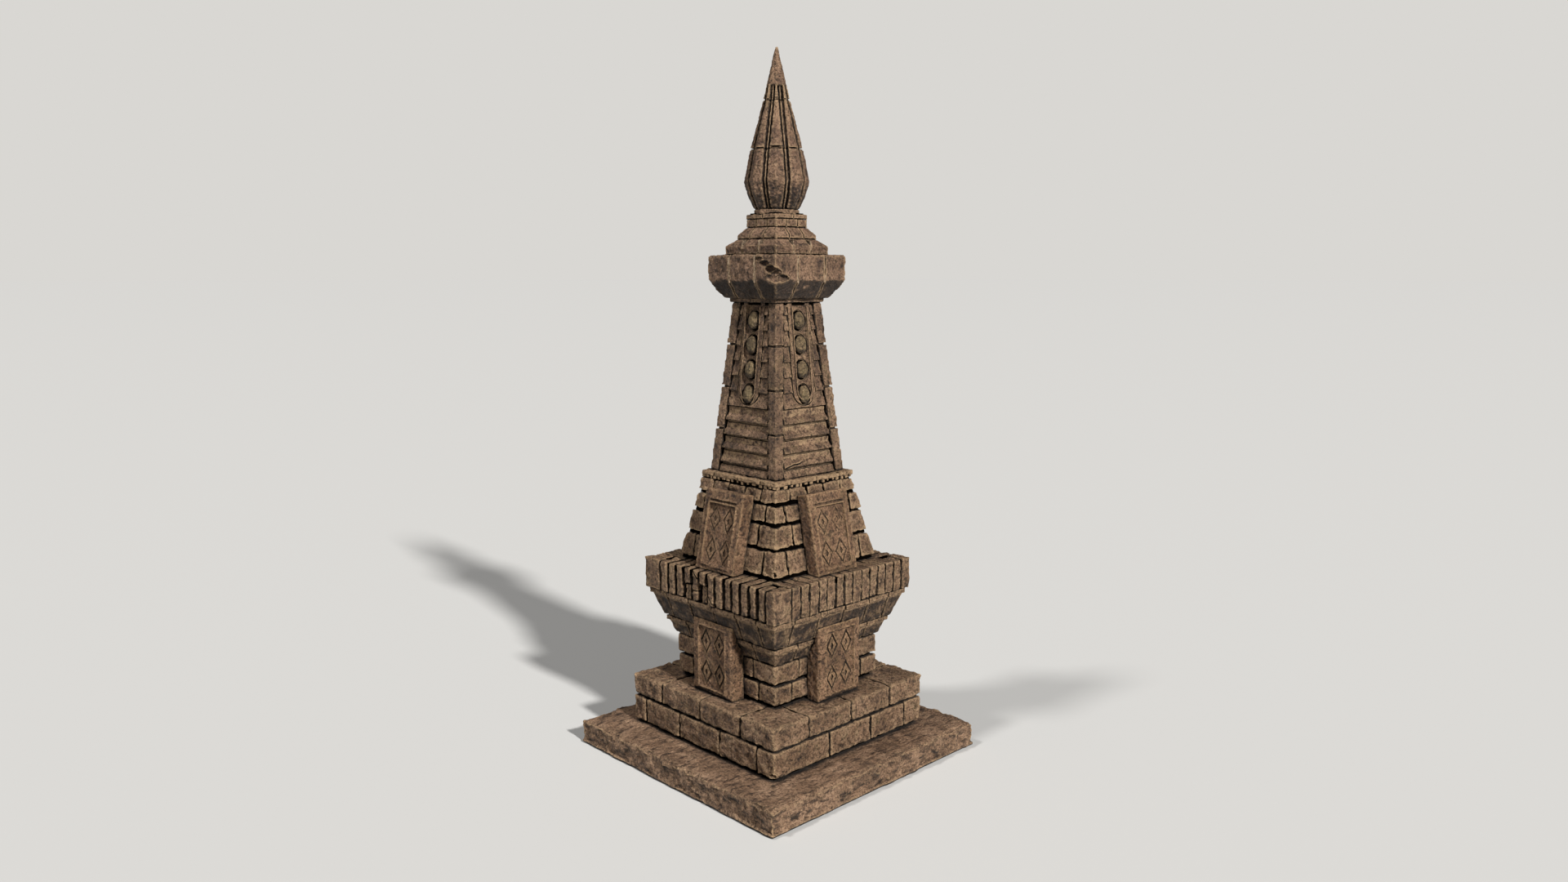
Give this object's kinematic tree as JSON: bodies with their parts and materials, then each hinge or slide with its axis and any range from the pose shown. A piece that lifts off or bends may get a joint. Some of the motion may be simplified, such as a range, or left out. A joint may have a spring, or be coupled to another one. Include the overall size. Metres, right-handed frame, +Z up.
{
  "type": "stone obelisk monument",
  "caption": "Square stone obelisk on a stepped pedestal, with leaning tablets, a flared cornice, a tapered carved shaft, a capital and a lotus bud finial.",
  "frame": {"origin": "middle of the ground slab's underside, on the ground", "axes": "+Z up, -Y out of the front face, +X out of the right face"},
  "size_m": [2.5, 2.5, 6],
  "materials": {
    "ground_stone": "worn, rough, lichen in the hollows",
    "block_stone": "rough dressed, dark open joints",
    "tablet_stone": "rubbed sandstone, reddish, worn edges",
    "cornice_stone": "rough dressed upright stones",
    "shaft_stone": "carved sandstone with mossy growth",
    "capital_stone": "weathered dark sandstone",
    "finial_stone": "carved sandstone, weathered"
  },
  "bodies": {
    "root": {"batter_course_1": "block_stone", "batter_course_2": "block_stone", "batter_course_3": "block_stone", "batter_course_4": "block_stone", "capital": "capital_stone", "carved_panel_back": "shaft_stone", "carved_panel_front": "shaft_stone", "carved_panel_left": "shaft_stone", "carved_panel_right": "shaft_stone", "corbel_lower_course": "block_stone", "corbel_upper_course": "block_stone", "corner_post_back_left": "shaft_stone", "corner_post_back_right": "shaft_stone", "corner_post_front_left": "shaft_stone", "corner_post_front_right": "shaft_stone", "cornice": "cornice_stone", "finial_base": "finial_stone", "finial_bud": "finial_stone", "finial_spire": "finial_stone", "finial_tip": "finial_stone", "ground_slab": "ground_stone", "lower_tablet_back": "tablet_stone", "lower_tablet_front": "tablet_stone", "lower_tablet_left": "tablet_stone", "lower_tablet_right": "tablet_stone", "pedestal_lower_course": "block_stone", "pedestal_upper_course": "block_stone", "plinth_lower_course": "block_stone", "plinth_upper_course": "block_stone", "roof_lower_step": "capital_stone", "roof_neck": "capital_stone", "roof_plate": "capital_stone", "roof_upper_step": "capital_stone", "shaft_core": "shaft_stone", "shaft_neck": "capital_stone", "slat_panel_back": "shaft_stone", "slat_panel_front": "shaft_stone", "slat_panel_left": "shaft_stone", "slat_panel_right": "shaft_stone", "string_course": "block_stone", "upper_tablet_back": "tablet_stone", "upper_tablet_front": "tablet_stone", "upper_tablet_left": "tablet_stone", "upper_tablet_right": "tablet_stone"}
  },
  "joints": []
}
